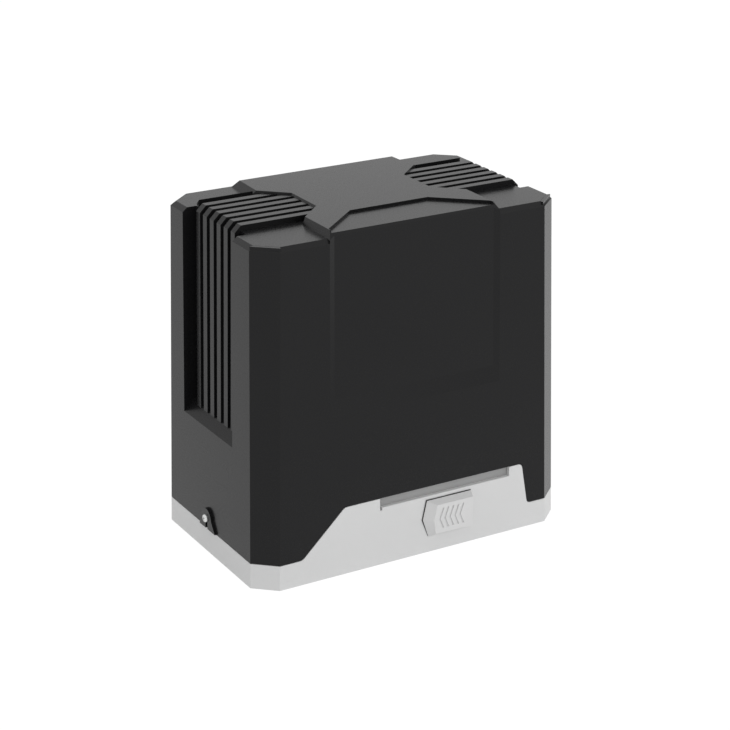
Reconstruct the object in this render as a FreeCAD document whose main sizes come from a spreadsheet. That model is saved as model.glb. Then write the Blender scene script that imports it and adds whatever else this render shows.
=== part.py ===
"""Sliding gate motor: ribbed lift-off cover, cast base, worm gearbox, vertical motor and electronics.

Frame: origin at the centre of the base's footprint on the foundation, +Z up, +X along the gate's
travel, -Y the front with the manual release, +Y the rear with the pinion that drives the rack.
All sizes are millimetres.
"""
import FreeCAD, Part
import math
import os
import re
import Sketcher

Vector = FreeCAD.Vector
Rotation = FreeCAD.Rotation

SIZES = dict(
    # outer body: a drafted box whose upright corners are cut off
    base_length=290, base_width=178, end_slope=0.0264, face_slope=0.0154,
    corner_x=18, corner_y=16, skirt_top=21.2, seam_gap=0.4,
    cover_wall=3, base_wall=4, floor_height=6, lip_wall=2.6,
    # top of the cover
    side_edge_height=278.5, shelf_height=282, rib_height=286.5, plateau_height=288,
    top_bevel=5, plateau_half=74, waist_half=52.6, waist_rear=22, waist_front=-19,
    shoulder_rear=42, shoulder_front=-40, plateau_front=-78.7, plateau_rear=74.5,
    # ribbed channel on each side
    channel_rear=46.2, channel_front=-41, channel_bottom=109, rib_recess=7.2,
    rib_pitch=12.1, rib_width=6.6, groove_depth=4, rib_first=33, rib_bevel=5.5,
    # front of the base and its cut-out in the cover
    cut_left_low=-106.4, cut_left_high=-67.3, cut_right_high=103, cut_right_low=109,
    cut_top=58.6, panel_half=77, panel_low=137, panel_depth=2, panel_bevel=5,
    grip_left=-32.5, grip_right=90, grip_floor=50, grip_depth=3.4, grip_lip=47.5,
    # release slider and lock
    slider_tip=5.5, slider_left=10.8, slider_right=52, slider_low=14, slider_high=46.5,
    slider_proud=8.5, slider_face_inset=4.5, lock_across=40, lock_height=29,
    # output drive
    axis_height=88, nose_radius=30, shaft_radius=12.5, journal_radius=10, hex_flats=24,
    wheel_teeth=36, wheel_module=2.5, wheel_middle=-14, wheel_width=22,
    worm_pitch_radius=13, running_gap=0.1,
    pinion_teeth=17, pinion_module=4, pinion_start=96, pinion_width=30,
    # motor
    motor_radius=53, deck_height=150, stack_low=158, stack_high=218, motor_top=252,
    # foundation
    anchor_across=232, anchor_deep=116, anchor_radius=5.5, anchor_length=26,
    cable_across=88, cable_deep=30, cable_radius=16, grommet_radius=10,
)

doc = FreeCAD.newDocument("SlidingGateMotor")
sheet = doc.addObject("Spreadsheet::Sheet", "Sizes")
for row, (alias, value) in enumerate(SIZES.items(), start=1):
    sheet.set(f"A{row}", alias)
    sheet.set(f"B{row}", str(value))
    sheet.setAlias(f"B{row}", alias)
doc.recompute()


def bound(text):
    """A formula with its size names turned into references to the sheet."""
    return re.sub(r"[a-z][a-z_]*", lambda m: "Sizes." + m.group() if m.group() in SIZES else m.group(),
                  str(text))


def number(text):
    """The value that a formula has now."""
    return float(sheet.evalExpression(bound(text).replace("Sizes.", "")))


def bind(thing, **formulas):
    """Bind properties to formulas; a double underscore stands for a dot."""
    for name, text in formulas.items():
        thing.setExpression(name.replace("__", "."), bound(text))


NODES = []


def keep(thing, node):
    """Mark an object as a finished sub-part under its own name."""
    thing.Label = node
    NODES.append(thing)
    return thing


# ---------------------------------------------------------------- sketches and bodies

def new_body(name):
    return doc.addObject("PartDesign::Body", name)


def new_sketch(body, plane, height="0", turn=None):
    """A sketch on one of the body's own planes, lifted along the plane's normal."""
    sketch = body.newObject("Sketcher::SketchObject", body.Name + "_sketch")
    support = [f for f in body.Origin.OriginFeatures if f.Role == plane + "_Plane"][0]
    sketch.AttachmentSupport = [(support, "")]
    sketch.MapMode = "FlatFace"
    if turn is not None:
        sketch.AttachmentOffset = FreeCAD.Placement(Vector(0, 0, 0), turn)
    sketch.setExpression("AttachmentOffset.Base.z", bound(height))
    return sketch


def add_outline(sketch, corners):
    """A closed outline; each corner is held by two signed distances from the origin."""
    first = sketch.GeometryCount
    spots = [Vector(number(x), number(y), 0) for x, y in corners]
    count = len(spots)
    for i in range(count):
        sketch.addGeometry(Part.LineSegment(spots[i], spots[(i + 1) % count]))
    for i in range(count):
        sketch.addConstraint(Sketcher.Constraint("Coincident", first + i, 2, first + (i + 1) % count, 1))
    for i, (x, y) in enumerate(corners):
        for kind, text, value in (("DistanceX", x, spots[i].x), ("DistanceY", y, spots[i].y)):
            index = sketch.addConstraint(Sketcher.Constraint(kind, -1, 1, first + i, 1, value))
            sketch.setExpression(f"Constraints[{index}]", bound(text))
    return sketch


def add_circle(sketch, x, y, radius):
    """A circle held by its centre's signed distances and its radius."""
    geo = sketch.addGeometry(Part.Circle(Vector(number(x), number(y), 0), Vector(0, 0, 1),
                                         number(radius)))
    for kind, text in (("DistanceX", x), ("DistanceY", y)):
        index = sketch.addConstraint(Sketcher.Constraint(kind, -1, 1, geo, 3, number(text)))
        sketch.setExpression(f"Constraints[{index}]", bound(text))
    index = sketch.addConstraint(Sketcher.Constraint("Radius", geo, number(radius)))
    sketch.setExpression(f"Constraints[{index}]", bound(radius))
    return sketch


def pad(body, sketch, length):
    """Add material from the sketch along its normal."""
    feature = body.newObject("PartDesign::Pad", body.Name + "_pad")
    feature.Profile = sketch
    bind(feature, Length=length)
    return feature


def pocket(body, sketch, length):
    """Remove material from the sketch along its normal."""
    feature = body.newObject("PartDesign::Pocket", body.Name + "_pocket")
    feature.Profile = sketch
    feature.Reversed = True
    bind(feature, Length=length)
    return feature


def prism(body, plane, corners, start, length, remove=False):
    sketch = add_outline(new_sketch(body, plane, start), corners)
    return (pocket if remove else pad)(body, sketch, length)


def disc(body, plane, x, y, radius, start, length, remove=False):
    sketch = add_circle(new_sketch(body, plane, start), x, y, radius)
    return (pocket if remove else pad)(body, sketch, length)


def rect(x0, y0, x1, y1):
    return [(x0, y0), (x1, y0), (x1, y1), (x0, y1)]


def loft(body, levels, remove=False):
    """A straight-sided loft through outlines at stated heights on the XY plane."""
    sketches = [add_outline(new_sketch(body, "XY", height), corners) for height, corners in levels]
    kind = "PartDesign::SubtractiveLoft" if remove else "PartDesign::AdditiveLoft"
    feature = body.newObject(kind, body.Name + "_loft")
    feature.Profile = sketches[0]
    feature.Sections = sketches[1:]
    feature.Ruled = True
    return feature


def plan(height, inset="0"):
    """The eight-cornered plan of the drafted body at a height, moved inwards by an inset."""
    x = f"(base_length / 2 - end_slope * ({height}) - ({inset}))"
    y = f"(base_width / 2 - face_slope * ({height}) - ({inset}))"
    cut_x = f"(corner_x - 0.6 * ({inset}))"
    cut_y = f"(corner_y - 0.55 * ({inset}))"
    quarter = [(f"{x} - {cut_x}", y), (x, f"{y} - {cut_y}")]
    right = [(a, f"-({b})") for a, b in quarter] + [(a, b) for a, b in reversed(quarter)]
    return right + [(f"-({a})", b) for a, b in reversed(right)]


def solid(name, *pieces):
    """A single-body sub-part made of discs and prisms: (plane, shape, start, length, remove)."""
    body = new_body(name)
    for plane, shape, start, length, remove in pieces:
        if len(shape) == 3 and not isinstance(shape[0], tuple):
            disc(body, plane, *shape, start, length, remove)
        else:
            prism(body, plane, shape, start, length, remove)
    return body


def part_op(kind, name, **links):
    thing = doc.addObject("Part::" + kind, name)
    for key, value in links.items():
        setattr(thing, key, value)
    return thing


# On the XZ plane a sketch's normal points to -Y, so the start of a feature there is -y.
def back(y):
    return f"-({y})"


# ---------------------------------------------------------------- base casting

def skyline(left_low, left_high, right_high, right_low, top, low):
    """What is cut away above the edge line of a wall that rises in the middle."""
    return [("-base_length", low), (left_low, low), (left_high, top), (right_high, top),
            (right_low, low), ("base_length", low), ("base_length", "200"), ("-base_length", "200")]


def rounded_edge(gap, low):
    """The cut-out's edge line with its corners rounded, moved inwards by a gap."""
    left, right, top = f"(cut_left_high + {gap})", f"(cut_right_high - {gap})", f"(cut_top - {gap})"
    left_low, right_low = f"(cut_left_low + {gap})", f"(cut_right_low - {gap})"
    return [(f"{left_low} - 2.6", low), (f"{left_low} - 0.3", f"{low} + 0.3"),
            (f"{left_low} + 1.8", f"{low} + 1.7"),
            (f"{left} - 1.7", f"{top} - 1.6"), (f"{left} + 0.4", f"{top} - 0.25"), (f"{left} + 2.6", top),
            (f"{right} - 2.8", top), (f"{right} - 0.8", f"{top} - 0.7"), (f"{right} + 0.4", f"{top} - 2.7"),
            (f"{right_low} - 0.4", f"{low} + 2.6"), (f"{right_low} + 0.7", f"{low} + 0.6"),
            (f"{right_low} + 2.6", low)]


def make_base():
    body = new_body("base_form")
    loft(body, [("0", plan("0")), ("130", plan("130"))])
    loft(body, [("floor_height", plan("floor_height", "base_wall")), ("131", plan("131", "base_wall"))],
         remove=True)
    front = [("-base_length", "skirt_top"), *rounded_edge("seam_gap", "skirt_top"),
             ("base_length", "skirt_top"), ("base_length", "200"), ("-base_length", "200")]
    prism(body, "XZ", front, "0", "base_width", remove=True)
    rear = skyline("-(nose_radius + 5)", "-(nose_radius + 5)", "nose_radius + 5", "nose_radius + 5",
                   "axis_height", "skirt_top")
    prism(body, "XZ", rear, back("base_width"), "base_width", remove=True)
    # inner lip that locates the cover
    inset = "cover_wall + seam_gap"
    lip = new_body("base_lip")
    loft(lip, [("skirt_top - 8", plan("skirt_top - 8", inset)), ("130", plan("130", inset))])
    loft(lip, [("skirt_top - 9", plan("skirt_top - 9", f"{inset} + lip_wall")),
               ("131", plan("131", f"{inset} + lip_wall"))], remove=True)
    prism(lip, "XZ", skyline("cut_left_low - 8", "cut_left_high - 8", "cut_right_high + 8",
                             "cut_right_low + 8", "cut_top + 7", "skirt_top + 8"),
          "0", "base_width", remove=True)
    prism(lip, "XZ", skyline("-(nose_radius + 11)", "-(nose_radius + 11)", "nose_radius + 11",
                             "nose_radius + 11", "axis_height", "skirt_top + 8"),
          back("base_width"), "base_width", remove=True)
    # raised pads round the anchor slots
    pads = new_body("anchor_pads")
    for side in ("-1", "1"):
        for end in ("-1", "1"):
            x, y = f"{end} * anchor_across / 2", f"{side} * anchor_deep / 2"
            prism(pads, "XY", rect(f"{x} - 16", f"{y} - 9", f"{x} + 16", f"{y} + 9"),
                  "floor_height - 1", "5")
    # bosses that take the cover's screws
    for start in ("-141", "132"):
        prism(pads, "YZ", rect("-5", "14", "9", "37"), start, "9")
    whole = part_op("MultiFuse", "base_blank", Shapes=[body, lip, pads])
    # everything that is cut through walls and floor
    cuts = new_body("base_cuts")
    for side in ("-1", "1"):
        for end in ("-1", "1"):
            x, y = f"{end} * anchor_across / 2", f"{side} * anchor_deep / 2"
            reach = "(anchor_length / 2 - anchor_radius)"
            prism(cuts, "XY", rect(f"{x} - {reach}", f"{y} - anchor_radius", f"{x} + {reach}",
                                   f"{y} + anchor_radius"), "-1", "20")
            for way in ("-", "+"):
                disc(cuts, "XY", f"{x} {way} {reach}", y, "anchor_radius", "-1", "20")
    disc(cuts, "YZ", "2", "31", "1.6", "-160", "320")
    disc(cuts, "XY", "cable_across", "cable_deep", "cable_radius", "-1", "20")
    outer = "base_width / 2 - face_slope * grip_floor"
    prism(cuts, "XZ", rect("grip_left", "grip_floor", "grip_right", "cut_top - seam_gap + 0.5"),
          f"{outer} - grip_depth", "20")
    prism(cuts, "XZ", rect("grip_left - 2", "grip_lip", "grip_left", "cut_top - seam_gap + 0.5"),
          f"{outer} - 12", "20")
    disc(cuts, "XZ", "lock_across", "lock_height", "10.5", "base_width / 2 - 20", "30")
    for low in ("lock_height - 14", "lock_height + 11"):
        prism(cuts, "XZ", rect("slider_right - 35.5", low, "slider_right - 3", f"{low} + 4"),
              "base_width / 2 - 20", "30")
    disc(cuts, "XZ", "0", "axis_height", "nose_radius + 0.3", back("base_width"), "base_width / 2 + 60")
    return keep(part_op("Cut", "base_cut", Base=whole, Tool=cuts), "base_casting")


make_base()


# ---------------------------------------------------------------- shorthand for plain pieces

def along_x(shape, low, high, remove=False):
    return ("YZ", shape, low, f"({high}) - ({low})", remove)


def along_y(shape, low, high, remove=False):
    return ("XZ", shape, f"-({high})", f"({high}) - ({low})", remove)


def along_z(shape, low, high, remove=False):
    return ("XY", shape, low, f"({high}) - ({low})", remove)


def piece(node, *features):
    """A sub-part whose body is a row of discs and prisms."""
    return keep(solid("form_" + node, *features), node)


def group(node, bodies):
    """Several like solids that move together share one node."""
    return keep(part_op("Compound", "set_" + node, Links=bodies), node)


def pattern(body, feature, kind, **settings):
    """Repeat the last feature of a body along or round one of the body's own axes."""
    repeat = body.newObject("PartDesign::" + kind, body.Name + "_pattern")
    repeat.Originals = [feature]
    axis = settings.pop("axis")
    link = [f for f in body.Origin.OriginFeatures if f.Role == axis + "_Axis"][0]
    setattr(repeat, "Axis" if kind == "PolarPattern" else "Direction", (link, [""]))
    repeat.Occurrences = settings.pop("times")
    bind(repeat, **settings)
    body.Tip = repeat
    return repeat


# ---------------------------------------------------------------- top cover

def end_x(height, inset="0"):
    """How far the drafted end face is from the middle at a height."""
    return f"(base_length / 2 - end_slope * ({height}) - ({inset}))"


def face_y(height, inset="0"):
    return f"(base_width / 2 - face_slope * ({height}) - ({inset}))"


def channel(depth, foot):
    """The side channel's section: a drafted floor that ramps out to the end face at its foot."""
    deep = f"rib_recess + 5 + {depth}"
    return [(end_x(f"{foot} + 11", deep), f"{foot} + 11"), (end_x("295", deep), "295"),
            ("base_length", "295"), ("base_length", f"{foot} - 9"), (end_x(foot), foot)]


def flip(outline):
    return [(f"-({x})", y) for x, y in outline]


def plateau(out, rear_out):
    """The raised middle of the top: wide in front and behind, narrow between the ribs."""
    half = [(f"plateau_half + {out}", f"plateau_front - {out} * 2"),
            (f"plateau_half + {out}", f"shoulder_front - {out} * 0.4"),
            (f"waist_half + {out}", f"waist_front - {out} * 0.4"),
            (f"waist_half + {out}", f"waist_rear + {out} * 0.4"),
            (f"plateau_half + {rear_out}", f"shoulder_rear + {out}"),
            (f"plateau_half + {rear_out} - 1.5", f"plateau_rear + {rear_out}")]
    return half + flip(reversed(half))


def make_cover():
    body = new_body("cover_form")
    low = "skirt_top + seam_gap"
    loft(body, [(low, plan(low)), ("side_edge_height", plan("side_edge_height"))])
    loft(body, [("side_edge_height", plan("side_edge_height")),
                ("shelf_height", plan("shelf_height", "top_bevel - 1"))])
    loft(body, [("275", plateau("3", "5")), ("shelf_height", plateau("3", "5")),
                ("plateau_height", plateau("0", "0"))])
    # the corners in front keep their full height where the bevels of the edges end
    x, y = end_x("shelf_height", "0.8"), face_y("shelf_height", "0.8")
    facet = [(x, f"-({y} - corner_y)"), (f"{x} - corner_x", f"-({y})"),
             (f"{x} - corner_x - 2", f"-({y} - 8)"), (f"{x} - 10", f"-({y} - corner_y - 1)")]
    for outline in (facet, flip(facet)):
        prism(body, "XY", outline, "270", "shelf_height - 270.1")
    # screw lugs low on both ends
    lug = [("-13", low), ("-6.5", "31"), ("10.5", "31"), ("15", low)]
    for start, stop in (("-(base_length / 2 + 1.2)", "-(base_length / 2 - 3)"),
                        ("base_length / 2 - 3", "base_length / 2 + 1.2")):
        for feature in (along_x(lug, start, stop), along_x(("2", "31", "8.5"), start, stop)):
            (disc if isinstance(feature[1], tuple) else prism)(
                body, feature[0], *([*feature[1]] if isinstance(feature[1], tuple) else [feature[1]]),
                feature[2], feature[3])
    # front panel: a shallow recess whose sides and foot are bevelled
    tilt = Rotation(Vector(1, 0, 0), -math.degrees(math.atan(SIZES["face_slope"])))
    sketches = []
    for depth in ("1.5", "-panel_depth"):
        widen = f"({depth}) * panel_bevel / panel_depth"
        corners = [(f"-(panel_half + 1.8 + {widen})", f"panel_low - ({depth}) * 7"),
                   (f"panel_half + 1.8 + {widen}", f"panel_low - ({depth}) * 7"),
                   (f"panel_half + {widen}", "300"), (f"-(panel_half + {widen})", "300")]
        sketches.append(add_outline(new_sketch(body, "XZ", f"base_width / 2 + {depth}", tilt), corners))
    cut = body.newObject("PartDesign::SubtractiveLoft", "panel_recess")
    cut.Profile, cut.Sections, cut.Ruled = sketches[0], [sketches[1]], True
    # shallow recess in the top's front
    half = [("35.5", "-42.5"), ("73.5", "-76"), ("73.5", "-92")]
    prism(body, "XY", half + flip(reversed(half)), "plateau_height - panel_depth", "20", remove=True)
    # side channels, then ribs that arch over the top from one channel into the other
    for outline in (channel("0", "channel_bottom"), flip(channel("0", "channel_bottom"))):
        prism(body, "XZ", outline, "-channel_rear", "channel_rear - channel_front", remove=True)
    foot = "channel_bottom + 7"
    arch = [(end_x(foot, "rib_recess"), foot), (end_x("281", "rib_recess"), "rib_height - rib_bevel"),
            (end_x("281", "rib_recess + rib_bevel"), "rib_height")]
    arch += flip(reversed(arch))
    inner = [(end_x(foot, "rib_recess + 7"), foot), (end_x("280", "rib_recess + 7"), "280")]
    arch += flip(inner) + list(reversed(inner))
    rib = prism(body, "XZ", arch, "-(rib_first + rib_width / 2)", "rib_width")
    pattern(body, rib, "LinearPattern", axis="Y", times=6, Length="rib_pitch * 5").Reversed = True
    # low lip behind the ribs
    lip = [("channel_rear", "281"), ("channel_rear", "rib_height"), ("channel_rear + 4.5", "shelf_height"),
           ("channel_rear + 4.5", "281")]
    for start in ("waist_half + 8", "-123"):
        prism(body, "YZ", lip, start, "123 - waist_half - 8")
    # cut-outs in the skirt
    prism(body, "XZ", [("cut_left_low - 2.6", "skirt_top - 5"), *rounded_edge("0", f"({low})"),
                       ("cut_right_low + 2.6", "skirt_top - 5")],
          "base_width / 2 - 20", "40", remove=True)
    prism(body, "XZ", rect("-35", "10", "35", "axis_height"), "-120", "50", remove=True)
    disc(body, "XZ", "0", "axis_height", "35", "-120", "50", remove=True)
    prism(body, "YZ", rect("0.15", "15", "3.85", "31"), "-160", "320", remove=True)
    disc(body, "YZ", "2", "31", "1.85", "-160", "320", remove=True)
    # inside
    room = new_body("cover_room")
    loft(room, [("10", plan("10", "cover_wall")), ("side_edge_height", plan("side_edge_height",
                                                                            "cover_wall"))])
    for outline in (channel("cover_wall", "channel_bottom - 3"),
                    flip(channel("cover_wall", "channel_bottom - 3"))):
        prism(room, "XZ", outline, "-channel_rear - 3", "channel_rear - channel_front + 6", remove=True)
    prism(room, "XZ", rect("-81", "panel_low - 5", "81", "300"), face_y("300", "5"), "20", remove=True)
    prism(room, "XY", rect("-49.5", "-40", "49.5", "70"), "270", "plateau_height - 3 - 270")
    return keep(part_op("Cut", "cover_cut", Base=body, Tool=room), "top_cover")


make_cover()


# ---------------------------------------------------------------- screws, slider and lock

def screw(axis, x, y, head, radius, length, grip, way):
    """A pan-head screw: its head stands on a surface and its shank goes in the way given."""
    body = new_body("screw")
    low = f"({head}) - {length}" if way < 0 else f"({head}) - {grip}"
    disc(body, axis, x, y, radius, low, f"{length} + {grip}")
    start = head if way < 0 else f"({head}) - {grip}"
    disc(body, axis, x, y, f"{radius} * 2.1", start, grip)
    return body


group("cover_screws", [screw("YZ", "2", "31", "base_length / 2 + 1.3", "1.6", "12", "2.4", -1),
                       screw("YZ", "2", "31", "-(base_length / 2 + 1.3)", "1.6", "12", "2.4", 1)])


def make_slider():
    body = new_body("slider_form")
    left, right, low, high = "slider_left", "slider_right", "slider_low", "slider_high"
    foot = [("slider_tip", "lock_height + 1"), (f"{left} - 1.5", high), (right, high),
            (right, low), (left, low)]
    face = [("slider_tip + 6.7", "lock_height + 1.8"), (f"{left} + 4.5", f"{high} - 2.4"),
            (f"{right} - 2.5", f"{high} - 2.6"), (f"{right} - 2.5", f"{low} + 4"),
            (f"{left} + 3.2", f"{low} + 4.4")]
    heights = ["base_width / 2", "base_width / 2 + slider_proud - 1.5"]
    sketches = [add_outline(new_sketch(body, "XZ", h), o) for h, o in zip(heights, (foot, face))]
    shape = body.newObject("PartDesign::AdditiveLoft", "slider_loft")
    shape.Profile, shape.Sections, shape.Ruled = sketches[0], [sketches[1]], True
    # chevron grips
    tip = [("16.4", "31"), ("20", "40.4"), ("21.7", "40.4"), ("18.2", "31"), ("21.7", "22.7"),
           ("20", "22.7")]
    grip = prism(body, "XZ", tip, "base_width / 2 + slider_proud - 2.5", "4", remove=True)
    pattern(body, grip, "LinearPattern", axis="X", times=5, Length="4.85 * 4")
    # guide tongues with a hook behind the wall
    for bottom, hook in (("lock_height - 13.5", "-2.5"), ("lock_height + 11.5", "2.5")):
        prism(body, "XZ", rect(f"{right} - 10", bottom, f"{right} - 4", f"{bottom} + 3"),
              "base_width / 2 - 8.2", "8.7")
        prism(body, "XZ", rect(f"{right} - 10", f"{bottom} + ({hook})", f"{right} - 4",
                               f"{bottom} + 3 + ({hook})"), "base_width / 2 - 8.2", "1.4")
    keep(body, "key_slider")


make_slider()
LOCK = ("lock_across", "lock_height")
piece("lock_housing", along_y((*LOCK, "10.45"), "-88.2", "-64"), along_y((*LOCK, "13"), "-78", "-75"),
      along_y((*LOCK, "6.55"), "-90", "-60", True))
piece("lock_plug", along_y((*LOCK, "6.5"), "-88", "-63.7"),
      along_y(rect("lock_across - 0.9", "lock_height - 4", "lock_across + 0.9", "lock_height + 4"),
              "-89", "-72", True))


def make_cam():
    body = new_body("cam_form")
    disc(body, "XZ", "0", "0", "10", "59.7 + 0.3", "3.7")
    for side in (1, -1):
        sketch = new_sketch(body, "XY")
        x = "6.5 * %d" % side
        add_outline(sketch, [(f"{x} - 2.5", "-64 + 0.3"), (f"{x} + 2.5", "-64 + 0.3"),
                             (f"{x} + 2.5", "-60"), (f"{x} - 2.5", "-60")])
        ramp = body.newObject("PartDesign::AdditiveHelix", "cam_ramp")
        ramp.Profile = sketch
        ramp.ReferenceAxis = (sketch, ["V_Axis"])
        ramp.Mode = 0
        bind(ramp, Pitch="32", Height="8")
        ramp.LeftHanded = True
    bind(body, Placement__Base__x="lock_across", Placement__Base__z="lock_height")
    keep(body, "lock_cam")


make_cam()
FORK = "14.5"
piece("release_rod", along_y((*LOCK, "5"), "-50", "46"), along_y((*LOCK, "3.6"), "-57.7", "-50"),
      along_y(rect("lock_across - 9", "lock_height - 1.5", "lock_across + 9", "lock_height + 1.5"),
              "-57.7", "-53.7"),
      along_y(("0", "axis_height", "32"), FORK, "19.5"),
      along_y(("0", "axis_height", "21.6"), "10", "25", True),
      along_y([("48", "124.2"), ("-51.4", "56.8"), ("-85.1", "106.5"), ("14.3", "173.9")],
              "10", "25", True),
      along_y([("45.8", "32.9"), ("34.2", "25.1"), ("11", "59.3"), ("22.6", "67.1")], FORK, "19.5"))

# ---------------------------------------------------------------- gearbox castings
HUB = ("0", "axis_height")
WORM = ("-58", "wheel_middle")
LOBE_ANGLES = (20, 60, 200, 240, 300)
LOBES = [(f"55 * cos({a})", f"axis_height + 55 * sin({a})") for a in LOBE_ANGLES]
WEB = [("0", "50"), ("28", "18"), ("54", "20"), ("55", "78")]
piece("gearbox_housing",
      along_y((*HUB, "56"), "-34", "60"), along_y((*LOCK, "16"), "-34", "60"),
      along_y([("0", "50"), ("28", "20"), ("55", "22"), ("56", "80")], "-34", "60"),
      *[along_y((x, z, "5.5"), "-34", "-10") for x, z in LOBES],
      along_z((*WORM, "24"), "30", "142"), along_z(rect("-58", "-34", "-20", "12"), "30", "142"),
      along_z(rect("-60", "-34", "30", "60"), "floor_height", "44"),
      along_z(rect("-84", "-34", "66", "60"), "floor_height", "14"),
      along_y(rect("-120", "5", "70", "142"), "-60", "-34", True),
      along_z((*WORM, "54"), "142", "deck_height"),
      along_y((*HUB, "nose_radius"), "60", "92"),
      along_z(rect("2", "-20", "50", "60"), "130", "deck_height"),
      along_z(rect("-18", "42", "2", "60"), "130", "146"),
      along_y((*HUB, "49.5"), "-35", "8", True), along_y((*HUB, "36"), "8", "42", True),
      along_y([("30", "20"), ("51", "30"), ("34", "100"), ("0", "70")], "8", "42", True),
      along_y((*HUB, "26"), "40", "57", True), along_y((*HUB, "14"), "50", "100", True),
      along_y((*HUB, "20"), "84", "100", True),
      along_z((*WORM, "17.5"), "36", "160", True),
      *[along_y((x, z, "2"), "-50", "-32", True) for x, z in LOBES],
      along_y((*LOCK, "5.05"), "-40", "56", True))
piece("gearbox_cover",
      along_y((*HUB, "53.5"), "-42", "-34"), along_y((*LOCK, "14"), "-42", "-34"),
      along_y(WEB, "-42", "-34"), *[along_y((x, z, "5.5"), "-42", "-34") for x, z in LOBES],
      along_y((*HUB, "27"), "-35", "-27.5"), along_y((*HUB, "27"), "-44", "-40"),
      along_y((*HUB, "21"), "-39", "-20", True), along_y((*LOCK, "5.05"), "-50", "-30", True),
      *[along_y((x, z, "2"), "-50", "-30", True) for x, z in LOBES])
group("gearbox_screws", [screw("XZ", x, z, "42", "2", "10", "3", -1) for x, z in LOBES])

# ---------------------------------------------------------------- output shaft, wheel and clutch


def hexagon(flats):
    return [(f"{flats} / 2 / cos(30) * cos({a})", f"axis_height + {flats} / 2 / cos(30) * sin({a})")
            for a in range(0, 360, 60)]


piece("output_shaft",
      along_y((*HUB, "journal_radius"), "-39", "-26"), along_y((*HUB, "hex_flats / 2"), "-26", "-2"),
      along_y(hexagon("hex_flats"), "-2", "38"), along_y((*HUB, "shaft_radius"), "38", "94"),
      along_y((*HUB, "journal_radius"), "94", "127"), along_y((*HUB, "8"), "127", "142"))


def gear(node, teeth, module, start, width, twist, bore, clearance):
    """A spur or screw gear: a blank with one lofted tooth gap, repeated round the axis."""
    body = new_body("gear_form")
    pitch = f"({teeth} * {module} / 2)"
    disc(body, "XZ", "0", "0", f"{pitch} + {module}", f"-({start} + {width})", width)
    half = f"(pi * {module} / 4 + {clearance})"
    sketches = []
    for end, turn in ((f"-({start} + {width} + 0.5)", twist), (f"-({start}) + 0.5", -twist)):
        corners = [(f"-({pitch} + {module} * 1.5)", f"{half} + {module} * 0.62"),
                   (f"-({pitch} + {module} * 1.5)", f"-({half} + {module} * 0.62)"),
                   (f"-({pitch} - {module} * 0.2)", f"-({half} - {module} * 0.1)"),
                   (f"-({pitch} - {module} * 1.25)", f"-({half} - {module} * 0.5)"),
                   (f"-({pitch} - {module} * 1.25)", f"{half} - {module} * 0.5"),
                   (f"-({pitch} - {module} * 0.2)", f"{half} - {module} * 0.1")]
        spin = Rotation(Vector(0, 0, 1), turn)
        sketches.append(add_outline(new_sketch(body, "XZ", end, spin), corners))
    gap = body.newObject("PartDesign::SubtractiveLoft", "tooth_gap")
    gap.Profile, gap.Sections, gap.Ruled = sketches[0], [sketches[1]], True
    pattern(body, gap, "PolarPattern", axis="Y", times=teeth, Angle="360")
    disc(body, "XZ", "0", "0", bore, f"-({start} + {width} + 1)", f"{width} + 2", remove=True)
    bind(body, Placement__Base__z="axis_height")
    keep(body, node)
    return body


wheel = gear("worm_wheel", SIZES["wheel_teeth"], "wheel_module", "wheel_middle - wheel_width / 2",
             "wheel_width", -1.4, "hex_flats / 2", "running_gap")
for x0, z0, x1, z1 in ((18.5, -6.5, 26, 6.5), (-26, -6.5, -18.5, 6.5), (-6.5, 18.5, 6.5, 26),
                       (-6.5, -26, 6.5, -18.5)):
    prism(wheel, "XZ", rect(x0, z0, x1, z1), "-3", "7")
gear("pinion", SIZES["pinion_teeth"], "pinion_module", "pinion_start", "pinion_width", 0,
     "journal_radius", "0")


def make_sleeve():
    body = new_body("sleeve_form")
    for feature in (along_y(("0", "0", "27"), "4", "30"),):
        disc(body, feature[0], *feature[1], *feature[2:])
    prism(body, "XZ", rect("-6.3", "-26", "6.3", "26"), "-5", "7.7")
    prism(body, "XZ", rect("-26", "-6.3", "26", "6.3"), "-5", "7.7")
    disc(body, "XZ", "0", "0", "18.5", "-4", "10", remove=True)
    flats = [(f"(hex_flats + 0.2) / 2 / cos(30) * cos({a + 45})",
              f"(hex_flats + 0.2) / 2 / cos(30) * sin({a + 45})") for a in range(0, 360, 60)]
    prism(body, "XZ", flats, "-40", "50", remove=True)
    groove = new_body("sleeve_groove")
    disc(groove, "XZ", "0", "0", "40", "-20", "6")
    disc(groove, "XZ", "0", "0", "21", "-21", "8", remove=True)
    cut = part_op("Cut", "sleeve_cut", Base=body, Tool=groove)
    cut.Placement = FreeCAD.Placement(Vector(0, 0, 0), Rotation(Vector(0, 1, 0), 45))
    bind(cut, Placement__Base__z="axis_height")
    keep(cut, "clutch_sleeve")


make_sleeve()
piece("pinion_washer", along_y((*HUB, "16"), "127", "129.5"), along_y((*HUB, "8"), "120", "132", True))
piece("pinion_nut", along_y(hexagon("24"), "129.5", "140"), along_y((*HUB, "8"), "125", "145", True))


def bearing(node, axis, x, y, bore, outer, start, width):
    """A deep-groove bearing as its races and the shielded ring between them."""
    body = new_body("bearing_form")
    disc(body, axis, x, y, outer, start, width)
    for side in (f"({start}) - 1", f"({start}) + {width} - 0.6"):
        ring = new_sketch(body, axis, side)
        add_circle(ring, x, y, f"{outer} - ({outer} - {bore}) * 0.3")
        add_circle(ring, x, y, f"{bore} + ({outer} - {bore}) * 0.3")
        pocket(body, ring, "1.6")
    disc(body, axis, x, y, bore, f"({start}) - 1", f"{width} + 2", remove=True)
    keep(body, node)


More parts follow.
